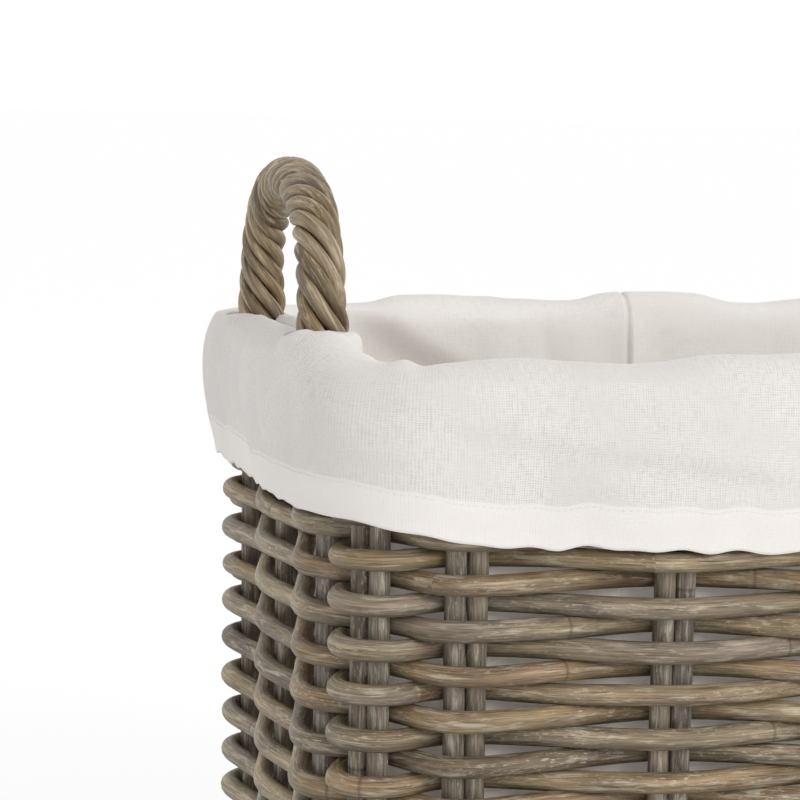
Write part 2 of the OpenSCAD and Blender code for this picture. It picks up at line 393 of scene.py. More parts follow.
def cane_material(name, tones, pale, pale_amount, roughness, painted_underside_shade=1.0):
    """Weathered cane skin: rod tones, long grain, worn pale skin, bark, dark cracks and node rings.

    Its last argument sets how bright the lower side of a rod stays: painted shade on the underside of every
    rod.
    """
    material, tree, shader = new_material(name)
    place = add(tree, "ShaderNodeAttribute", attribute_name="cane_co").outputs["Vector"]
    tint = add(tree, "ShaderNodeAttribute", attribute_name="cane_tint").outputs["Fac"]
    step = 1 / (len(tones) - 1)
    drift = stretched_noise(tree, place, 6, 60, detail=2)
    shifted = calc(tree, "MULTIPLY_ADD", calc(tree, "SUBTRACT", drift, 0.5), 0.55, tint)
    colour = ramp(tree, shifted, [(i * step, srgb(*tone)) for i, tone in enumerate(tones)])

    def layer(along, around, *stops, **settings):
        return grey_ramp(tree, stretched_noise(tree, place, along, around, **settings), *stops)

    grain = stretched_noise(tree, place, 18, 1100, detail=4, rough=0.65)
    colour = times(tree, colour, grey_ramp(tree, grain, (0.25, 0.42), (0.75, 1.42)))
    colour = times(tree, colour, layer(30, 140, (0.3, 0.66), (0.7, 1.2), detail=3, rough=0.6))
    colour = times(tree, colour, layer(70, 2400, (0.3, 0.6), (0.7, 1.28), detail=3, rough=0.6))
    skin = stretched_noise(tree, place, 42, 330, detail=5, rough=0.7, distortion=0.6)
    worn = grey_ramp(tree, skin, (0.52, 0), (0.64, 1))
    colour = mix(tree, times(tree, worn, grey(pale_amount)), colour, pale)
    fleck = layer(260, 900, (0.58, 0), (0.68, 1), detail=2)
    patch = layer(12, 90, (0.45, 0), (0.6, 0.6), detail=1)
    colour = mix(tree, times(tree, fleck, patch), colour, pale)
    bark = layer(11, 80, (0.54, 0), (0.62, 0.62), detail=4, rough=0.75, distortion=0.4)
    colour = mix(tree, bark, colour, mix(tree, 0.5, colour, srgb(66, 50, 38)))
    cracks = layer(34, 1500, (0.64, 0), (0.72, 1), detail=2, rough=0.5, distortion=0.2)
    colour = mix(tree, times(tree, cracks, grey(0.72)), colour, srgb(58, 44, 34))
    split = add(tree, "ShaderNodeSeparateXYZ", {0: place}).outputs
    # Painted shade: the lower side of every rod is darkened towards the last argument's brightness.
    colour = times(tree, colour, remap(tree, split["Z"], -ROD_R, 0.3 * ROD_R, painted_underside_shade, 1.0))
    ring = remap(tree, calc(tree, "PINGPONG", split["X"], NODE_SPACING / 2), 0.0, NODE_RING, 1.0, 0.0)
    colour = mix(tree, times(tree, ring, grey(0.6)), colour, srgb(70, 56, 44))
    gloss = grey_ramp(tree, skin, (0.3, roughness - 0.1), (0.7, roughness + 0.12))
    height = mix(tree, 0.5, grain, skin)
    height = mix(tree, 1.0, height, times(tree, cracks, grey(0.8)), "SUBTRACT")
    feed(tree, shader, {
        "Base Color": colour, "Roughness": gloss, "Specular IOR Level": 0.4,
        "Normal": relief(tree, height, 0.55, 1.2 * MM),
    })
    return material


# Tones of the cane, as 0 to 255 screen values.
WEAVER_TONES = [
    (114, 98, 77), (145, 128, 102), (141, 126, 112), (160, 141, 107), (150, 125, 93), (167, 148, 117),
    (145, 131, 114),
]
STAKE_TONES = [(112, 98, 82), (136, 122, 104), (148, 134, 116), (126, 116, 104)]
HANDLE_TONES = [(112, 94, 68), (148, 128, 98), (136, 116, 85), (166, 146, 114), (140, 122, 98)]
FRAME_TONES = [(104, 88, 70), (122, 106, 86), (134, 118, 98)]
PALE_SKIN = srgb(200, 190, 170)
# The weaver rods get painted shade on their lower sides.
weaver_cane = cane_material("weaver_cane", WEAVER_TONES, PALE_SKIN, 0.62, 0.5, painted_underside_shade=0.45)
stake_cane = cane_material("stake_cane", STAKE_TONES, srgb(196, 188, 172), 0.7, 0.52)
handle_cane = cane_material("handle_cane", HANDLE_TONES, srgb(196, 182, 156), 0.7, 0.46)
frame_cane = cane_material("frame_cane", FRAME_TONES, PALE_SKIN, 0.35, 0.55)


# What the linen's colour is multiplied by deep inside the bag: painted shade that takes back part of the
# painted light on the bag's inside.
DEEP_PAINTED_SHADE = (0.89, 0.875, 0.845, 1)


def linen_material():
    """Plain-weave linen: warp and weft threads with slubs, on the cloth's own flat coordinates.

    The doubled hem at the foot of the cuff is paler and closer. The inside of the bag has a smoother weave
    and is made paler by painted light, most of all near its top; deeper down a painted shade takes part of
    that back.
    """
    material, tree, shader = new_material("linen")
    place = add(tree, "ShaderNodeAttribute", attribute_name="cloth_co").outputs["Vector"]
    soft = vector_calc(tree, "MULTIPLY", noise(tree, place, 90.0)["Color"], (1.2 * MM, 1.2 * MM, 0))
    split = add(tree, "ShaderNodeSeparateXYZ", {0: vector_calc(tree, "ADD", place, soft)}).outputs
    gaps = []
    for axis in ("X", "Y"):
        wave = calc(tree, "SINE", calc(tree, "MULTIPLY", split[axis], 2 * math.pi / THREAD_PITCH))
        gaps.append(calc(tree, "MULTIPLY_ADD", wave, 0.5, 0.5))
    hole = calc(tree, "MULTIPLY", *gaps)
    warp_slub = stretched_noise(tree, place, 200, 1100, detail=2)
    weft = vector_calc(tree, "MULTIPLY", place, (1100, 120, 1))
    weft_slub = noise(tree, weft, 1.0)["Fac"]
    height = calc(tree, "MULTIPLY_ADD", hole, -0.6, calc(tree, "ADD", warp_slub, weft_slub))
    tone = noise(tree, place, 7.0, 3.0)["Fac"]
    colour = ramp(tree, tone, [(0.3, srgb(223, 219, 215)), (0.7, srgb(230, 226, 222))])
    shade = grey_ramp(tree, height, (0.3, 0.8), (0.8, 1.0), (1.1, 1.1))
    pressed = grey_ramp(tree, noise(tree, place, 22.0)["Fac"], (0.42, 0.0), (0.62, 0.75))
    shade = mix(tree, pressed, shade, grey(0.985))
    down = add(tree, "ShaderNodeSeparateXYZ", {0: place}).outputs["Y"]
    hem_top = HEM_BAND - HEM_V
    band = remap(tree, down, hem_top - 0.5 * MM, hem_top + 0.5 * MM, 1.0, 0.0)
    shade = mix(tree, times(tree, band, grey(0.8)), shade, grey(1.0))
    shade = mix(tree, remap(tree, down, -5 * MM, 25 * MM, 0.0, 0.6), shade, grey(1.0))
    colour = times(tree, colour, shade)
    # Painted light: the inside of the bag, from the crest down, is made up to 1.24 times brighter.
    colour = times(tree, colour, remap(tree, down, -5 * MM, 25 * MM, 1.0, 1.24))
    # Painted shade deep inside the bag, from 60 to 130 mm down, takes part of that painted light back.
    deep = remap(tree, down, 60 * MM, 130 * MM, 0.0, 1.0)
    colour = mix(tree, deep, colour, times(tree, colour, DEEP_PAINTED_SHADE))
    colour = mix(tree, band, colour, times(tree, colour, grey(1.12)))
    feed(tree, shader, {
        "Base Color": colour, "Roughness": 0.9, "Specular IOR Level": 0.2, "Sheen Weight": 0.15,
        "Normal": relief(tree, height, 0.45, 0.3 * MM),
    })
    through = add(tree, "ShaderNodeBsdfTranslucent", {"Color": colour})
    both = add(tree, "ShaderNodeMixShader", {0: 0.18, 1: shader.outputs[0], 2: through.outputs[0]})
    tree.links.new(both.outputs[0], tree.nodes["Material Output"].inputs["Surface"])
    return material


linen = linen_material()
split_cane = cane_material("split_cane", STAKE_TONES, srgb(190, 178, 152), 0.6, 0.5)
linen_thread = plain_material("linen_thread", srgb(228, 224, 218))


# ------------ weaver rows
def belt_path(z, first_side, reach):
    """The shortest line that passes outside one pair of stakes and inside the next."""
    centres = stake_centres(z)
    n = len(centres)
    side = [first_side * (1 if (j // 2) % 2 == 0 else -1) for j in range(n)]
    heading = []
    for j in range(n):
        gap = centres[(j + 1) % n] - centres[j]
        turn = math.asin((side[j] - side[(j + 1) % n]) * reach / np.hypot(*gap))
        heading.append(math.atan2(gap[1], gap[0]) + turn)
    points = []
    for j in range(n):
        start = heading[j - 1]
        bend = (heading[j] - start + math.pi) % (2 * math.pi) - math.pi
        for k in range(5):
            a = start + bend * k / 4
            points.append(centres[j] + side[j] * reach * np.array([math.sin(a), -math.cos(a)]))
    return np.array(points)


def sprung_path(z, first_side, count=480, rounds=2500, rod_r=SKIN_R):
    """A row's centre line: the belt path relaxed as a springy rod that the stakes hold apart."""
    reach = STAKE_R + rod_r + 0.2 * MM
    path = resample(belt_path(z, first_side, reach + 0.1 * MM), count, closed=True)
    centres = stake_centres(z)
    for _ in range(rounds):
        near = np.roll(path, 1, 0) + np.roll(path, -1, 0)
        far = np.roll(path, 2, 0) + np.roll(path, -2, 0)
        path = path - (far - 4 * near + 6 * path) / 20
        away = path[:, None, :] - centres[None, :, :]
        dist = np.linalg.norm(away, axis=2)
        closest = dist.argmin(axis=1)
        pick = np.arange(count)
        push = np.maximum(0, reach - dist[pick, closest])
        path = path + away[pick, closest] / dist[pick, closest][:, None] * push[:, None]
    return resample(path, count, closed=True)


def weave_rows():
    """All the rows, between relaxed paths at the floor end and at the rim end."""
    ends = {(side, z): sprung_path(z, side) for side in (1, -1) for z in (0.0, RIM_TOP)}
    count = len(ends[(1, 0.0)])
    shared = [ripple(count, 5, 1.0 * MM) for _ in range(len(ROWS) // 4 + 2)]
    for index, name in enumerate(ROWS):
        low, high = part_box(name)
        z = (low.z + high.z) / 2
        side = 1 if index % 2 == 0 else -1
        part = z / RIM_TOP
        flat = ends[(side, 0.0)] * (1 - part) + ends[(side, RIM_TOP)] * part
        level = index / 4
        drift = shared[int(level)] * (1 - level % 1) + shared[int(level) + 1] * (level % 1)
        height = z + drift + ripple(count, 22, 0.9 * MM)
        radius = SKIN_R * random.uniform(0.94, 1.03) * (1 + ripple(count, 14, 0.045))
        tint = rod_tints(count)
        path = np.column_stack([flat, height])
        part_mesh = tube(path, radius, closed=True, sides=16, tint=tint, oval=0.02)
        cane_piece(name + "_rod", [part_mesh], weaver_cane, "weaver_cane", name)


def rod_tints(count):
    """One tone for each length of cane in a row, changing where two lengths meet."""
    tint = np.zeros(count)
    start = random.integers(0, count)
    position = 0
    while position < count:
        length = int(random.uniform(0.35, 0.75) * count)
        stretch = np.arange(position, min(count, position + length))
        tint[(start + stretch) % count] = random.uniform(0.02, 0.98)
        position += length
    return tint


# ------------ stakes
def stake_group(name, first, count, node_low):
    """The stakes with these numbers in the ring, as slightly uneven upright rods."""
    low_z, high_z = BASE_TOP, RIM_TOP - 12 * MM
    low, high = stake_centres(low_z), stake_centres(high_z)
    parts = []
    for j in [k for f in first for k in range(f, f + count)]:
        t = np.linspace(0, 1, 90)[:, None]
        path = np.hstack([low[j] * (1 - t) + high[j] * t, low_z * (1 - t) + high_z * t])
        path[:, 0] += ripple(90, 4, 0.25 * MM)
        path[:, 1] += ripple(90, 4, 0.25 * MM)
        radius = STAKE_R * random.uniform(0.97, 1.02) * (1 + ripple(90, 8, 0.03))
        parts.append(tube(path, radius, up=(1, 0.3, 0), tint=random.uniform(0, 1)))
    cane_piece(name, parts, stake_cane, "stake_cane", node_low)


def all_stakes():
    """The stakes of the four sides and the corners, numbered from the front left corner."""
    side, end = 2 * FRONT_PAIRS, 2 * END_PAIRS
    corners = []
    first = 2
    for name, node, count in (("front", "front_stakes", side), ("right", "right_end_stakes", end),
                              ("back", "back_stakes", side), ("left", "left_end_stakes", end)):
        stake_group(name + "_stake_rods", [first], count, node)
        corners.append(first - 2)
        first += count + 2
    stake_group("corner_stake_rods", corners, 2, "corner_stakes")


# ------------ handles
def handle_line(count=400):
    """Centre line of a handle from foot to foot in its own plane, as (y, z)."""
    foot_z = RIM_TOP - 4 * MM
    spring_z = RIM_TOP + 16 * MM
    rise = ROPE_TOP - spring_z
    a = np.linspace(math.pi, 0, 240)
    squareness = 2.35
    power = 2 / squareness
    y = HANDLE_HALF * np.sign(np.cos(a)) * np.abs(np.cos(a)) ** power
    z = spring_z + rise * np.abs(np.sin(a)) ** power
    legs = np.linspace(foot_z, spring_z, 30)[:-1]
    line = np.vstack([
        np.column_stack([np.full(len(legs), -HANDLE_HALF), legs]),
        np.column_stack([y, z]),
        np.column_stack([np.full(len(legs), HANDLE_HALF), legs[::-1]]),
    ])
    return resample(line, count, closed=False)


def rope_handle(name, x, phase, *nodes):
    """Six strands laid up round the core, spreading at the feet where they go into the rim."""
    line = handle_line()
    n = len(line)
    tangent = unit(np.gradient(line, axis=0))
    s = arc_length(line)
    from_foot = np.minimum(s, s[-1] - s)
    spread = np.clip(1 - from_foot / (38 * MM), 0, 1) ** 2
    strands = 6
    strand_r = ROPE_R * 0.295
    pitch = 76 * MM
    parts = []
    for k in range(strands):
        angle = phase + 2 * math.pi * k / strands + 2 * math.pi * s / pitch + ripple(n, 5, 0.10)
        reach = (ROPE_R - strand_r) * (1 + ripple(n, 6, 0.035))
        radius = strand_r * random.uniform(0.9, 1.08) * (1 + ripple(n, 9, 0.06) + 0.12 * spread)
        inward = np.cos(angle) * x < 0
        splay = 2 * MM * bump(line[:, 1] - RIM_TOP - 11 * MM, 16 * MM) * np.abs(np.cos(angle)) * inward
        out_x = reach * np.cos(angle) * (1 + 0.1 * spread) - np.sign(x) * splay
        out_n = reach * np.sin(angle) * (1 + 0.8 * spread)
        path = np.column_stack([
            x + out_x, line[:, 0] - tangent[:, 1] * out_n, line[:, 1] + tangent[:, 0] * out_n,
        ])
        parts.append(tube(path, radius, up=(1, 0.02, 0.01), tint=random.uniform(0, 1), oval=0.05))
    cane_piece(name, parts, handle_cane, "handle_cane", *nodes)


# ------------ borders, hoops and foot
def border_line(z, count):
    """Points and outward normals of the wall's middle line at a height."""
    points, normals = wall_line(z, 0, count)
    return np.column_stack([points, np.full(count, z)]), np.column_stack([normals, np.zeros(count)])


def rolled_border(name, z, half, strands, strand_r, pitch, node):
    """Strands wound round the wall's line, like a flattened rope. half is (half width, half height)."""
    count = 1500
    line, normal = border_line(z, count)
    turns = round(arc_length(line)[-1] / pitch)
    s = np.linspace(0, 2 * math.pi, count, endpoint=False)
    parts = []
    for k in range(strands):
        angle = turns * s + 2 * math.pi * k / strands + ripple(count, 30, 0.05)
        width, height = half[0] - strand_r, half[1] - strand_r
        cos, sin = np.cos(angle), np.sin(angle)
        out = width * np.sign(cos) * np.abs(cos) ** 0.8
        rise = height * np.sign(sin) * np.abs(sin) ** 0.8
        path = line + normal * out[:, None]
        path[:, 2] += rise
        radius = strand_r * random.uniform(0.95, 1.0) * (1 + ripple(count, 20, 0.04))
        parts.append(tube(path, radius, closed=True, sides=10, tint=rod_tints(count)))
    cane_piece(name, parts, frame_cane, "frame_cane", node)


def flat_hoop(name, side, node):
    """One flattened cane hoop that clamps the stake tops from outside (side 1) or inside (side -1)."""
    half_w, half_h = 5 * MM, 7 * MM
    line, normal = border_line(RIM_TOP - 19.5 * MM, 480)
    path = line + normal * side * (STAKE_R + GAP + half_w)
    path[:, 2] += ripple(480, 8, 0.3 * MM)
    part = tube(path, 1.0, closed=True, sides=16, tint=rod_tints(480), oval=0, flat=(half_w, half_h))
    cane_piece(name, [part], frame_cane, "frame_cane", node)


def bay_phase(path, z):
    """Half turns of a twining rod at each point of its path: a whole number at every pair of stakes."""
    middles = np.array([(x, y) for x, y, _ in pair_ring(z)])
    near = [int(np.linalg.norm(path - m, axis=1).argmin()) for m in middles]
    near[0] = 0 if near[0] > len(path) // 2 else near[0]
    return np.interp(np.arange(len(path)), near + [len(path)], np.arange(len(near) + 1))


def twined_foot():
    """Two rounds of paired rods twined about the stakes, just above the foot."""
    rod_r, lift = 2.9 * MM, 2.7 * MM
    parts = []
    for z in (BASE_TOP + 4.8 * MM, BASE_TOP + 13.7 * MM):
        for side in (1, -1):
            flat = sprung_path(z, side, rod_r=rod_r)
            phase = bay_phase(flat, z) + (0 if side > 0 else 1)
            path = np.column_stack([flat, z + lift * np.sin(math.pi * phase)])
            radius = rod_r * (1 + ripple(len(path), 20, 0.05))
            parts.append(tube(path, radius, closed=True, sides=12, tint=rod_tints(len(path))))
    cane_piece("foot_twining", parts, weaver_cane, "weaver_cane", "foot_wale")


# ------------ woven base
def straight_rods(name, node, places_across, along_x, radius, z, material, slot):
    """Straight rods side by side under or in the base, each a little uneven."""
    low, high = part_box(node)
    parts = []
    for at in places_across:
        t = np.linspace(0, 1, 80)
        if along_x:
            short = 3 * MM if abs(at) > high.y - 6 * MM else 0
            x = low.x + short + (high.x - low.x - 2 * short) * t
            path = np.column_stack([x, np.full(80, at), np.full(80, z)])
        else:
            path = np.column_stack([np.full(80, at), low.y + (high.y - low.y) * t, np.full(80, z)])
        path[:, 2] += ripple(80, 4, 0.2 * MM)
        swell = radius * (1 + ripple(80, 6, 0.025))
        parts.append(tube(path, swell, tint=random.uniform(0, 1)))
    cane_piece(name, parts, material, slot, node)


def ribbon(path, side, width, thick, tint):
    """A flat split swept along a path; side is the direction of its width."""
    path = np.asarray(path, float)
    n = len(path)
    side = np.broadcast_to(np.asarray(side, float), path.shape)
    face = unit(np.cross(unit(np.gradient(path, axis=0)), side))
    section = np.array([
        (-0.5, 0.1), (-0.42, 0.42), (0, 0.5), (0.42, 0.42), (0.5, 0.1), (0.5, -0.4), (0, -0.5), (-0.5, -0.4),
    ])
    verts = np.stack([path + side * a * width + face * b * thick for a, b in section], axis=1).reshape(-1, 3)
    along = arc_length(path) + random.uniform(0, GRAIN_SPREAD)
    k = len(section)
    coords = np.column_stack([np.repeat(along, k), np.tile(section * (width, thick), (n, 1))])
    faces = bands(n, k)
    faces += [tuple(range(k))[::-1], tuple((n - 1) * k + j for j in range(k))]
    return verts, faces, coords, np.full(len(verts), tint)


def woven_base():
    """Sticks along the base with flat splits woven over and under them, on bars that run across."""
    low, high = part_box("base_weave")
    bar_low, bar_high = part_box("base_bars")
    stick_low, stick_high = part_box("base_sticks")
    stick_z = (stick_low.z + stick_high.z) / 2
    stick_r = (stick_high.z - stick_low.z) / 2
    bar_r = (bar_high.z - bar_low.z) / 2
    reach = stick_high.y - stick_r
    sticks = places(reach, 7)
    bars = places(bar_high.x - bar_r, 5)
    straight_rods("base_stick_rods", "base_sticks", sticks, True, stick_r, stick_z, stake_cane, "stake_cane")
    bar_z = bar_low.z + bar_r
    straight_rods("base_bar_rods", "base_bars", bars, False, bar_r, bar_z, frame_cane, "frame_cane")
    rise = stick_r + 2.3 * MM
    pitch = 13 * MM
    count = round((high.x - low.x - 10 * MM) / pitch)
    y = np.linspace(low.y, high.y, 140)
    bay = 2 * reach / 6
    parts = []
    for i in range(count + 1):
        x = (i - count / 2) * pitch
        sign = 1 if (i - count // 2) % 2 == 0 else -1
        wave = np.cos(math.pi * (y + reach) / bay)
        z = stick_z + sign * rise * np.sign(wave) * np.abs(wave) ** 0.6
        path = np.column_stack([np.full(140, x) + ripple(140, 3, 0.3 * MM), y, z])
        parts.append(ribbon(path, (1, 0, 0), 10 * MM, 3.2 * MM, random.uniform(0, 1)))
    cane_piece("base_splits", parts, split_cane, "split_cane", "base_weave")


def lashings():
    """Split cane wound twice round the rim on both sides of every handle leg."""
    parts = []
    low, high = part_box("handle_lashings")
    half_x = (high.x - HANDLE_X) - 0.8 * MM
    top, foot = high.z - 0.6 * MM, low.z + 0.8 * MM
    far_edge, near_edge = high.y - HANDLE_HALF, ROPE_R + GAP
    beside = (far_edge + near_edge) / 2
    split_w = (far_edge - near_edge) / 2
    loop_y = HANDLE_HALF + np.array([-beside, beside])
    corner = 3 * MM
    a = np.linspace(0, math.pi / 2, 6)
    arc = np.column_stack([np.cos(a), np.sin(a)]) * corner
    for side in (-1, 1):
        for y in np.concatenate([loop_y, -loop_y]):
            for turn in (-0.5, 0.5):
                loop = []
                for q, (sx, sz) in enumerate(((1, 1), (-1, 1), (-1, -1), (1, -1))):
                    centre = np.array([
                        sx * (half_x - corner), (top + foot) / 2 + sz * ((top - foot) / 2 - corner)])
                    turned = arc if q % 2 == 0 else arc[::-1]
                    loop.append(centre + turned * (sx, sz))
                flat = resample(np.vstack(loop), 60, closed=True)
                flat = np.vstack([flat, flat[:2]])
                path = np.column_stack([
                    side * HANDLE_X + flat[:, 0], np.full(62, y + turn * split_w), flat[:, 1],
                ])
                parts.append(ribbon(path, (0, 1, 0), 0.92 * split_w, 0.9 * MM, random.uniform(0, 1)))
    cane_piece("rim_lashings", parts, split_cane, "split_cane", "handle_lashings")


def handle_core(name, x, *nodes):
    """The rod inside a rope handle."""
    line = handle_line()
    foot = RIM_TOP - 26 * MM
    line = np.vstack([[line[0, 0], foot], line, [line[-1, 0], foot]])
    path = np.column_stack([np.full(len(line), x), line])
    cane_piece(name, [tube(path, 5 * MM, up=(1, 0.02, 0.01), tint=0.2)], handle_cane, "handle_cane", *nodes)


# ------------ liner
def smooth_curve(points, count):
    """A Catmull-Rom curve through the points, evenly resampled."""
    p = np.asarray(points, float)
    p = np.vstack([2 * p[0] - p[1], p, 2 * p[-1] - p[-2]])
    t = np.linspace(0, 1, 16, endpoint=False)[:, None]
    pieces = []
    for a, b, c, d in zip(p[:-3], p[1:-2], p[2:-1], p[3:]):
        square, cube = 2 * a - 5 * b + 4 * c - d, 3 * b - a - 3 * c + d
        pieces.append(0.5 * (2 * b + (c - a) * t + square * t**2 + cube * t**3))
    return resample(np.vstack(pieces + [p[-2:-1]]), count, closed=False)


def bump(x, width):
    """A smooth bell of height 1 at x = 0."""
    return np.exp(-((x / width) ** 2))


def fade(x, low, high):
    """0 below low, 1 above high, smooth between."""
    t = np.clip((x - low) / (high - low), 0, 1)
    return t * t * (3 - 2 * t)


def waves(seed, s, v, count, around, down, total):
    """Smooth closed noise on the cloth, from a seed or a generator.

    around is waves per turn and down is waves per metre, both as ranges.
    """
    rng = np.random.default_rng(seed)
    field = np.zeros(np.broadcast(s, v).shape)
    for _ in range(count):
        k = rng.integers(around[0], around[1] + 1)
        q = rng.uniform(*down)
        field += rng.normal() * np.cos(2 * math.pi * (k * s / total + q * v) + rng.uniform(0, 2 * math.pi))
    return field / math.sqrt(count)


# The cloth's section from the top of the fold, in mm: out from the middle of the wall, and up from the rim.
OUTER_PROFILE = [
    (0, 12.6), (6, 12.0), (12, 9.6), (17.5, 5), (21.5, -1), (24.3, -9), (25.8, -18), (26.2, -29), (25.4, -42),
    (23.8, -55), (21.6, -67), (19.6, -75), (18.4, -80.6), (17.8, -81.6), (17.2, -80.4), (18.2, -74),
    (20.2, -66), (21.8, -59),
]
INNER_PROFILE = [
    (0, 12.6), (-6, 11.8), (-11.5, 9), (-15.5, 4), (-17.8, -4), (-18.6, -15), (-18.8, -40), (-18.8, -140),
    (-18.8, -280), (-18.8, -400), (-19.2, -435), (-20.5, -448), (-23.5, -455.5), (-29, -458.2),
]
OUTER_ROWS, INNER_ROWS = 72, 120
# Height of the fold's crest above the rim, in mm, at places round the wall given as (x, y) in mm.
CREST = [
    (-190, -184, 9.8), (-160, -184, 9.4), (-136, -184, 7.6), (-120, -184, 9.4), (-99, -184, 11.8),
    (-60, -184, 13.8), (0, -184, 13.2), (90, -184, 11.5), (170, -184, 13.0), (220, -184, 11.5),
    (245, -175, 9.0), (262, -160, 8.0), (269, -137, 9.5), (269, -119, 18.0), (269, -98, 9.5), (269, -40, 7.0),
    (269, 40, 6.5), (269, 98, 8.5), (269, 119, 15.0), (269, 140, 8.0), (256, 170, 7.0), (225, 184, 9.5),
    (150, 184, 12.5), (85, 184, 11.0), (60, 184, 8.5), (40, 184, 8.8), (18, 184, 14.0), (-31, 184, 14.4),
    (-46, 184, 12.8), (-57, 184, 9.0), (-104, 184, 8.6), (-114, 184, 10.6), (-158, 184, 10.6),
    (-170, 184, 11.2), (-178, 184, 9.4), (-186, 184, 5.4), (-200, 184, 4.0), (-225, 184, 4.0),
    (-256, 170, 3.6), (-269, 135, 4.0), (-269, 98, 5.6), (-269, 40, 9.0), (-269, -40, 11.5),
    (-269, -92, 13.0), (-269, -119, 17.5), (-269, -134, 13.0), (-262, -160, 8.5), (-249, -175, 6.6),
    (-243, -179, 10.6), (-236, -182, 4.2), (-229, -183, 7.2), (-220, -184, 8.2), (-210, -184, 9.4),
]
# How far the hem is drawn up, in mm, at places round the wall.
HEM_LIFT = [
    (-190, -184, 1.5), (-165, -184, 2.5), (-125, -184, 0.5), (-65, -184, -1.0), (20, -184, 1.0),
    (120, -184, -0.5), (200, -184, 2.0), (256, -170, 13.0), (269, -90, 8.0), (269, 0, 5.0),
    (269, 90, 7.0), (256, 170, 12.0), (200, 184, 2.0), (100, 184, 0.0), (-26, 184, 1.5), (-120, 184, -1.0),
    (-200, 184, 3.0), (-256, 170, 6.0), (-269, 100, 2.5), (-269, 40, 5.5), (-269, -30, 7.0),
    (-269, -97, 10.0), (-262, -160, 14.0), (-246, -177, 11.5), (-222, -184, 5.5),
]
SEAM_X = -30.5 * MM
# Middle of the rolled fold inside the back left corner, in mm, and its place there, down the cloth. Its
# edge climbs FOLD_SLOPE for each 1 along the wall, and FOLD_STEP is about the length of that step.
CORNER_FOLD = (-172, 184)
FOLD_DOWN = 31 * MM
FOLD_SLOPE, FOLD_STEP = 0.58, 1.16
# Folds on the front of the cuff, in mm: x and distance down at both ends, depth, width.
FRONT_CREASES = [(-185, 60, -35, 80, 2.0, 6.5), (-250, 50, -150, 67, 1.4, 8), (-215, 34, -120, 26, 1.2, 8)]


def creases(s, v, total):
    """Soft pulled folds on the cuff: a valley with a ridge beside it, each given by its two ends."""
    rng = np.random.default_rng(8)
    front = half_sizes(RIM_TOP)[0] - STAKE_CORNER_R
    marks = [(front + x0 * MM, v0 * MM, front + x1 * MM, v1 * MM, depth, width)
             for x0, v0, x1, v1, depth, width in FRONT_CREASES]
    for start in np.linspace(front + 20 * MM, total - 120 * MM, 13):
        low, drop = rng.uniform(22, 60) * MM, rng.uniform(-30, 30) * MM
        run = rng.uniform(60, 130) * MM
        end = max(18 * MM, low + drop)
        marks.append((start, low, start + run, end, rng.uniform(0.8, 1.7), rng.uniform(6, 10)))
    field = np.zeros(np.broadcast(s, v).shape)
    for s0, v0, s1, v1, depth, width in marks:
        length = math.hypot(s1 - s0, v1 - v0)
        ds, dv = (s1 - s0) / length, (v1 - v0) / length
        out_s = around_gap(s, s0, total)
        ahead = out_s * ds + (v - v0) * dv
        off = (v - v0) * ds - out_s * dv
        taper = np.sin(math.pi * np.clip(ahead / length, 0, 1)) ** 0.7
        wide = width * MM
        field += depth * MM * taper * (0.7 * bump(off + 1.7 * wide, 1.2 * wide) - bump(off, wide))
    return field


def liner_columns():
    """Where the cloth's columns stand: lines at the floor and the rim, normals and arc length."""
    fine_count = 6000
    fine, _ = wall_line(RIM_TOP, 0, fine_count)
    total = arc_length(np.vstack([fine, fine[:1]]))[-1]
    back = np.where(fine[:, 1] > 0, np.abs(fine[:, 0] - SEAM_X), 9)
    seam_s = back.argmin() / fine_count * total
    s = np.linspace(0, total, 760, endpoint=False)
    s = np.unique(np.concatenate([s, seam_s + np.arange(-7, 7.1, 0.7) * MM]))
    at = s / total * fine_count

    def sample(z):
        return [
            np.column_stack([np.interp(at, np.arange(fine_count + 1), np.append(line[:, k], line[0, k]))
                             for k in (0, 1)])
            for line in wall_line(z, 0, fine_count)
        ]

    top, normal = sample(RIM_TOP)
    floor, _ = sample(0.0)
    top, floor = (round_blur(line, s, total, 8 * MM) for line in (top, floor))
    normal = unit(round_blur(normal, s, total, 22 * MM))
    return top, floor, normal, s, total, seam_s


def nearest_column(columns, place):
    """Arc length of the cloth's column nearest to a place (x, y)."""
    top, _, _, s, _, _ = columns
    return s[np.linalg.norm(top - place, axis=1).argmin()]


def round_blur(values, s, total, width):
    """Values at the columns, averaged along the wall line over a width."""
    even = np.linspace(0, total, 2000, endpoint=False)
    step = total / 2000
    reach = int(3 * width / step)
    kernel = bump(np.arange(-reach, reach + 1) * step, width)
    kernel /= kernel.sum()
    out = []
    for k in range(values.shape[1]):
        flat = np.interp(even, np.append(s, total), np.append(values[:, k], values[0, k]))
        padded = np.concatenate([flat[-reach:], flat, flat[:reach]])
        smooth = np.convolve(padded, kernel, mode="valid")
        out.append(np.interp(s, np.append(even, total), np.append(smooth, smooth[0])))
    return np.column_stack(out)


def corner_places(total):
    """Arc length of the middle of each rounded corner, from the start of the front wall."""
    w, d = half_sizes(RIM_TOP)
    sx, sy, arc = 2 * (w - STAKE_CORNER_R), 2 * (d - STAKE_CORNER_R), STAKE_CORNER_R * math.pi / 2
    return [sx + arc / 2, sx + arc + sy + arc / 2, 2 * sx + 1.5 * arc + sy + arc, total - arc / 2]


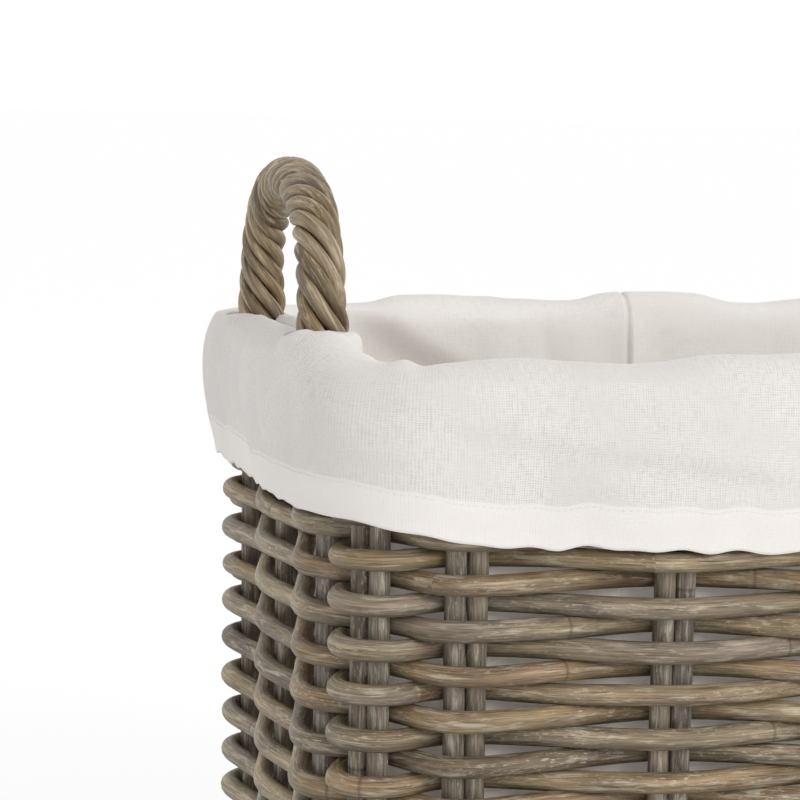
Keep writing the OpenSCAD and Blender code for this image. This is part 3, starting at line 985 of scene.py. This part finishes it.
def at_landmarks(marks, columns):
    """Smooth values at every column from (x, y, value) marks round the wall, all in mm."""
    s, total = columns[3:5]
    marks = np.array(marks) * MM
    place = np.array([nearest_column(columns, mark[:2]) for mark in marks])
    order = np.argsort(place)
    place, value = place[order], marks[order, 2]
    place = np.concatenate([place[-3:] - total, place, place[:3] + total])
    value = np.concatenate([value[-3:], value, value[:3]])
    fine = np.linspace(-0.05 * total, 1.05 * total, 2200)
    rough = np.interp(fine, place, value)
    step = fine[1] - fine[0]
    kernel = bump(np.arange(-40, 41) * step, 5 * MM)
    smooth = np.convolve(np.pad(rough, 40, mode="edge"), kernel / kernel.sum(), mode="valid")
    return np.interp(s, fine, smooth)


def around_gap(s, place, total):
    """Signed distance along the closed wall line from a place."""
    return (s - place + total / 2) % total - total / 2


def slot_width(top):
    """Half width of the opening that each handle passes through, at every column."""
    y = np.abs(top[:, 1])
    across, along = 15.5 * MM, 19.5 * MM
    at_leg = across * np.sqrt(np.clip(1 - ((y - HANDLE_HALF) / along) ** 2, 0, None))
    between = 3.5 * MM * fade(HANDLE_HALF + 4 * MM - y, 0, 12 * MM)
    return np.where(np.abs(top[:, 0]) > HANDLE_X - 3 * MM, np.maximum(at_leg, between), 0)


def cloth_half(profile, rows, outer, columns, cloth, shape):
    """One half of the cloth, from the top of the fold down: rows x columns of points, and its length down."""
    top, floor, normal, s, _, _ = columns
    curve = smooth_curve(profile, rows) * MM
    down = arc_length(curve)
    u = np.repeat(curve[:, :1], len(s), axis=1)
    z = RIM_TOP + np.repeat(curve[:, 1:], len(s), axis=1)
    above = RIM_TOP + 1.2 * MM
    z = np.where(z > above, above + (z - above) * cloth.puff, z)
    u, z = shape(u, z, down[:, None], s[None, :], cloth)
    sign = 1 if outer else -1
    width = slot_width(top)[None, :] * (1 if outer else INNER_SLOT)
    reach = 22 * MM
    held = width * (1 - fade(down[:, None], 14 * MM, 40 * MM))
    pulled = held + np.abs(u) * (reach - held) / reach
    over = (np.abs(u) < reach) & (down[:, None] < 40 * MM)
    past = np.where(over, pulled - held, 1)
    u = np.where(over, sign * pulled, u)
    lip = fade(width, 0, 5 * MM) * np.clip(1 - past / (5 * MM), 0, 1) ** 2
    z = z - 6 * MM * lip + 1.5 * MM * fade(width, 0, 5 * MM) * bump(past - 6 * MM, 4 * MM)
    part = np.clip(z / RIM_TOP, 0, 1)[..., None]
    base = floor[None] * (1 - part) + top[None] * part
    xy = base + normal[None] * u[..., None]
    return np.dstack([xy, z]), down


def cloth_details(columns):
    """What changes round the cloth: its seam, puckers, crest, hem and corner fold, at every column."""
    rng = np.random.default_rng(21)
    _, _, normal, s, total, seam_s = columns
    from_seam = around_gap(s, seam_s, total)
    seam = bump(from_seam, 1.4 * MM)
    crest = at_landmarks(CREST, columns)
    crest += 0.35 * MM * waves(rng, s, 0, 8, (10, 36), (0, 0), total) - 1.8 * MM * seam
    pucker = np.zeros(len(s))
    for corner in corner_places(total):
        for _ in range(4):
            place = corner + rng.uniform(-40, 40) * MM
            pucker += rng.uniform(0.25, 0.7) * bump(around_gap(s, place, total), rng.uniform(5, 9) * MM)
    return SimpleNamespace(
        total=total,
        seam=seam,
        seam_puff=bump(from_seam, 10 * MM),
        puff=np.clip(crest - 1.2 * MM, 1.0 * MM, None) / (11.4 * MM),
        pucker=pucker,
        hem_lift=at_landmarks(HEM_LIFT, columns),
        at_end=np.abs(normal[:, 0]) ** 3,
        past_fold=around_gap(s, nearest_column(columns, np.array(CORNER_FOLD) * MM), total),
    )


def cuff_shape(u, z, v, s, cloth):
    """Folds, creases, puckers and the hem of the hanging cuff: u is out from the wall, v down the cloth."""
    total = cloth.total
    level = HEM_V - np.abs(HEM_V - v)
    body = fade(level, 8 * MM, 45 * MM)
    end_folds = 1.3 * MM * waves(5, s, level, 7, (22, 46), (-2, 2), total) * cloth.at_end
    end_folds = end_folds * (1 - 0.6 * fade(level, 60 * MM, HEM_V))
    broad = 1.6 * MM * waves(6, s, level, 7, (4, 14), (-6, 6), total)
    slant = 0.8 * MM * waves(7, s, level, 10, (10, 26), (-14, 14), total)
    bend = (end_folds + broad + slant) * (1 - 0.5 * fade(level, 75 * MM, HEM_V))
    bend = bend + creases(s, level, total) * (1 - fade(level, HEM_V - HEM_BAND - 6 * MM, HEM_V))
    u = u + bend * body - 2.2 * MM * cloth.pucker * bump(level - 24 * MM, 24 * MM)
    u = u - 1.5 * MM * cloth.seam
    lowest = 18.2 * MM + 2 * MM * fade(HEM_V - v, 0, 40 * MM) - 1.3 * MM * (v > HEM_V)
    soft = 1.2 * MM
    raised = lowest + soft * np.log1p(np.exp(np.clip((u - lowest) / soft, -30, 30)))
    blend = fade(v, 24 * MM, 40 * MM)
    u = u * (1 - blend) + np.where((u - lowest) / soft > 25, u, raised) * blend
    band_top = HEM_V - HEM_BAND
    band = fade(v, band_top - 1 * MM, band_top + 1 * MM) * (v < HEM_V)
    stitch = bump(v - (band_top + 1.5 * MM), 1.3 * MM)
    u = u + 0.5 * MM * band - 0.5 * MM * stitch
    lift = cloth.hem_lift + 0.9 * MM * waves(9, s, 0, 10, (28, 70), (0, 0), total)
    return u, z + lift * fade(level, 20 * MM, HEM_V)


def bag_shape(u, z, v, s, cloth):
    """Hanging folds, the seam and the rolled corner fold of the wall inside the basket."""
    body = fade(v, 10 * MM, 60 * MM) * fade(z, 36 * MM, 90 * MM)
    broad = 2.2 * MM * waves(11, s, v, 9, (5, 18), (-3, 3), cloth.total)
    folds = 1.2 * MM * waves(12, s, v, 9, (20, 48), (-1.5, 1.5), cloth.total)
    u = u - np.abs((broad + folds) * body) + 0.6 * MM * body
    off = (v - FOLD_DOWN + FOLD_SLOPE * cloth.past_fold) / FOLD_STEP
    rolled = (1 - fade(off, -3 * MM, 20 * MM)) * fade(v, 7 * MM, 24 * MM)
    beside = 1 - fade(np.abs(cloth.past_fold + 28 * MM), 25 * MM, 75 * MM)
    u = u - 13 * MM * rolled * beside
    u = u - 3 * MM * cloth.pucker * bump(v - 25 * MM, 30 * MM)
    deeper = 1 + 1.2 * fade(v, 18 * MM, 45 * MM)
    u = u - 1.2 * MM * (cloth.seam_puff - 1.6 * cloth.seam) * deeper * fade(z, 40 * MM, 80 * MM)
    return u, z


def liner():
    """The linen liner: bag wall, soft fold over the rim and hanging cuff, with slots for the handles."""
    columns = liner_columns()
    cloth = cloth_details(columns)
    outer, down = cloth_half(OUTER_PROFILE, OUTER_ROWS, True, columns, cloth, cuff_shape)
    inner, depth = cloth_half(INNER_PROFILE, INNER_ROWS, False, columns, cloth, bag_shape)
    obj = make_object("liner_cloth", *joined_cloth(outer, inner[1:], down, depth[1:], columns))
    drop_loose(obj)
    place_piece(obj, linen, "liner", "linen", "liner_side")
    stitches = hem_stitches(outer, down)
    liner_bottom(inner[-1])


def joined_cloth(outer, inner, down, depth, columns):
    """One mesh from the two halves of the cloth, open along the top where the handles pass through."""
    top, _, normal, s, total, seam_s = columns
    n, crest = len(s), len(outer) - 1
    rows = np.concatenate([outer[::-1], inner])
    verts = rows.reshape(-1, 3)
    from_seam, from_crest = (s - seam_s) % total, np.concatenate([-down[::-1], depth])
    coords = np.column_stack([np.tile(from_seam, len(rows)), np.repeat(from_crest, n), np.zeros(len(verts))])
    crest_row = slice(crest * n, (crest + 1) * n)
    width = slot_width(top)
    inside = verts[crest_row].copy()
    inside[:, :2] -= normal * (1 + INNER_SLOT) * width[:, None]
    verts = np.vstack([verts, inside])
    coords = np.vstack([coords, coords[crest_row]])
    twin = np.where(width > 0, len(rows) * n, crest * n) + np.arange(n)
    faces = []
    for i in range(len(rows) - 1):
        upper = twin if i == crest else i * n + np.arange(n)
        lower = (i + 1) * n + np.arange(n)
        faces += zip(upper, np.roll(upper, -1), np.roll(lower, -1), lower)
    return verts, faces, {"cloth_co": coords}


def drop_loose(obj):
    """Removes vertices that no face uses."""
    mesh = bmesh.new()
    mesh.from_mesh(obj.data)
    bmesh.ops.delete(mesh, geom=[v for v in mesh.verts if not v.link_faces], context="VERTS")
    mesh.to_mesh(obj.data)
    mesh.free()


def hem_stitches(outer, down):
    """A running stitch along the top of the hem band."""
    row = int(np.abs(down - (HEM_V - HEM_BAND + 1.5 * MM)).argmin())
    line = resample(outer[row], 5200, closed=True)
    ahead = np.roll(line, -1, 0) - np.roll(line, 1, 0)
    out = unit(np.cross(ahead, (0, 0, 1)))
    verts, faces = [], []
    step = 10
    for start in range(0, len(line) - step, step):
        use = [start, start + 2, start + 5, start + 7]
        base = len(verts)
        for i, (at, r) in enumerate(zip(use, (0.1, 0.2, 0.2, 0.1))):
            for k in range(6):
                a = 2 * math.pi * k / 6
                lift = (0.05 if i in (0, 3) else 0.2) * MM
                raised = np.array([0, 0, r * MM * math.sin(a)])
                verts.append(line[at] + out[at] * (lift + r * MM * math.cos(a)) + raised)
        faces += bands(4, 6, base)
    coords = np.array(verts)[:, [0, 2, 1]]
    obj = make_object("hem_stitches", verts, faces, {"cloth_co": coords})
    place_piece(obj, linen_thread, "liner", "linen")
    return obj


def liner_bottom(edge):
    """The bottom panel, from the foot of the bag wall to the middle, with faint creases."""
    rng = np.random.default_rng(31)
    n, rings = len(edge), 40
    z = edge[:, 2].mean()
    rows = [np.column_stack([edge[:, :2] * (1 - i / rings), np.full(n, z)]) for i in range(rings)]
    verts = np.vstack(rows)
    x, y = verts[:, 0], verts[:, 1]
    field = np.zeros(len(verts))
    for _ in range(16):
        a, q = rng.uniform(0, math.pi), rng.uniform(4, 14)
        along = x * math.cos(a) + y * math.sin(a)
        field += rng.normal() * np.cos(2 * math.pi * q * along + rng.uniform(0, 6))
    inside = np.repeat(fade(np.arange(rings) / rings, 0, 0.12), n)
    verts[:, 2] += 0.7 * MM * np.abs(field) / 4 * inside
    verts = np.vstack([verts, [0, 0, z]])
    faces = bands(rings, n)
    hub = len(verts) - 1
    faces += [((rings - 1) * n + j, (rings - 1) * n + (j + 1) % n, hub) for j in range(n)]
    obj = make_object("liner_bottom_cloth", verts, faces, {"cloth_co": verts})
    place_piece(obj, linen, "liner", "linen", "liner_base")


# ------------ camera, light and floor
# The view, in metres and degrees, with the lens in mm for a 36 mm sensor.
CAMERA_PLACE = (-0.518, -1.4805, 0.6344)
CAMERA_YAW, CAMERA_PITCH, CAMERA_ROLL = 11.86, -6.65, 1.67
CAMERA_LENS = 126


def studio():
    """The camera, a pale sky and one large lamp, on a pale floor."""
    camera = linked("camera", bpy.data.cameras.new("camera"))
    camera.data.sensor_width = 36
    camera.data.lens = CAMERA_LENS
    camera.data.clip_end = 50
    yaw, pitch, roll = (math.radians(angle) for angle in (CAMERA_YAW, CAMERA_PITCH, CAMERA_ROLL))
    turn = Matrix.Rotation(-yaw, 4, "Z") @ Matrix.Rotation(math.pi / 2 + pitch, 4, "X")
    camera.matrix_world = Matrix.Translation(CAMERA_PLACE) @ turn @ Matrix.Rotation(roll, 4, "Z")
    bpy.context.scene.camera = camera
    world = bpy.data.worlds.new("studio")
    bpy.context.scene.world = world
    world.use_nodes = True
    tree = world.node_tree
    direction = add(tree, "ShaderNodeTexCoord").outputs["Generated"]
    toward = add(tree, "ShaderNodeVectorMath", {0: direction, 1: (0.7, 0.7, 0)}, operation="DOT_PRODUCT")
    level = remap(tree, toward.outputs["Value"], -1.0, 0.5, 0.0, 1.0)
    sky = grey_ramp(tree, level, (0.0, 0.66), (0.5, 0.96), (1.0, 1.16))
    tree.links.new(sky, tree.nodes["Background"].inputs["Color"])
    area_light("key", place=(1.1, -2.6, 1.5), target=(0, 0, 0.4), size=1.0, power=28)
    floor = make_object("floor", [(-40, -40, 0), (40, -40, 0), (40, 40, 0), (-40, 40, 0)], [(0, 1, 2, 3)])
    floor.data.materials.append(plain_material("floor_pale", grey(0.98)))
    bpy.context.scene.view_settings.view_transform = "Standard"


def area_light(name, place, target, size, power):
    """A round lamp at a place, aimed at a target."""
    light = linked(name, bpy.data.lights.new(name, "AREA"))
    light.data.shape = "DISK"
    light.data.size = size
    light.data.energy = power
    light.location = place
    light.rotation_euler = (Vector(target) - Vector(place)).to_track_quat("-Z", "Y").to_euler()


# ------------ build
studio()
weave_rows()
all_stakes()
rope_handle("left_rope", -HANDLE_X, 0.4, "left_handle_rope")
rope_handle("right_rope", HANDLE_X, 2.0, "right_handle_rope")
handle_core("left_core", -HANDLE_X, "left_handle_core")
handle_core("right_core", HANDLE_X, "right_handle_core")
rolled_border("rim_roll", RIM_TOP - 6 * MM, (WALL_T / 2, 6 * MM), 7, 3 * MM, 60 * MM, "rim_border")
rolled_border("foot_roll", 13 * MM, (WALL_T / 2, 13 * MM), 5, 4.5 * MM, 70 * MM, "base_hoop")
flat_hoop("outer_hoop", 1, "rim_outer_hoop")
flat_hoop("inner_hoop", -1, "rim_inner_hoop")
twined_foot()
woven_base()
lashings()
liner()
